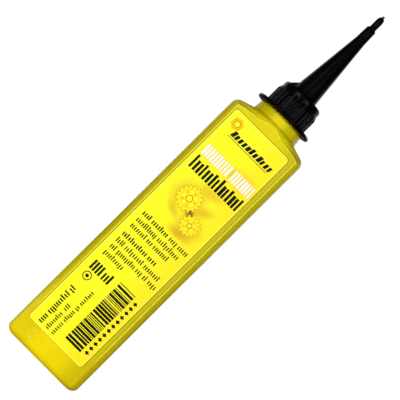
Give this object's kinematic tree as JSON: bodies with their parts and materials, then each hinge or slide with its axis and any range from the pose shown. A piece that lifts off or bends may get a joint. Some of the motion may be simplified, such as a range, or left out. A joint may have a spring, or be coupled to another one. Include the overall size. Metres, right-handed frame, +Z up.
{
  "type": "chain lube bottle",
  "caption": "Small flat blown squeeze bottle for bicycle chain oil, with a front label and a screw-on one-piece spout cap: drip flange, ribbed collar and long tapered closed tip.",
  "frame": {"origin": "middle of the foot that the bottle stands on, under the axis of the neck and spout", "axes": "+Z up along the neck and spout, the label faces -Y, +X to the right of somebody who reads the label"},
  "size_m": [0.0316, 0.0228, 0.1626],
  "materials": {
    "bottle_plastic": "satin blown polyethylene, opaque yellow",
    "label_film": "glossy printed film",
    "oil": "amber oil, a liquid",
    "seal_foam": "soft white foam",
    "cap_plastic": "satin moulded polyethylene, black"
  },
  "bodies": {
    "bottle": {"bottle": "bottle_plastic", "label": "label_film", "lube": "oil"},
    "seal": {"seal_ring": "seal_foam"},
    "cap": {"spout_cap": "cap_plastic"}
  },
  "joints": [
    {"name": "cap_lift", "type": "slide", "parent": "bottle", "child": "seal", "axis": [0, 0, 1], "range_m": [0, 0.009]},
    {"name": "cap_turn", "type": "hinge", "parent": "seal", "child": "cap", "pos_m": [0, 0, 0.1175], "axis": [0, 0, 1], "range_deg": [0, 1081]}
  ],
  "couplings": [
    {"joint": "cap_turn", "follows": "cap_lift", "rad_per_m": 2094.4}
  ]
}
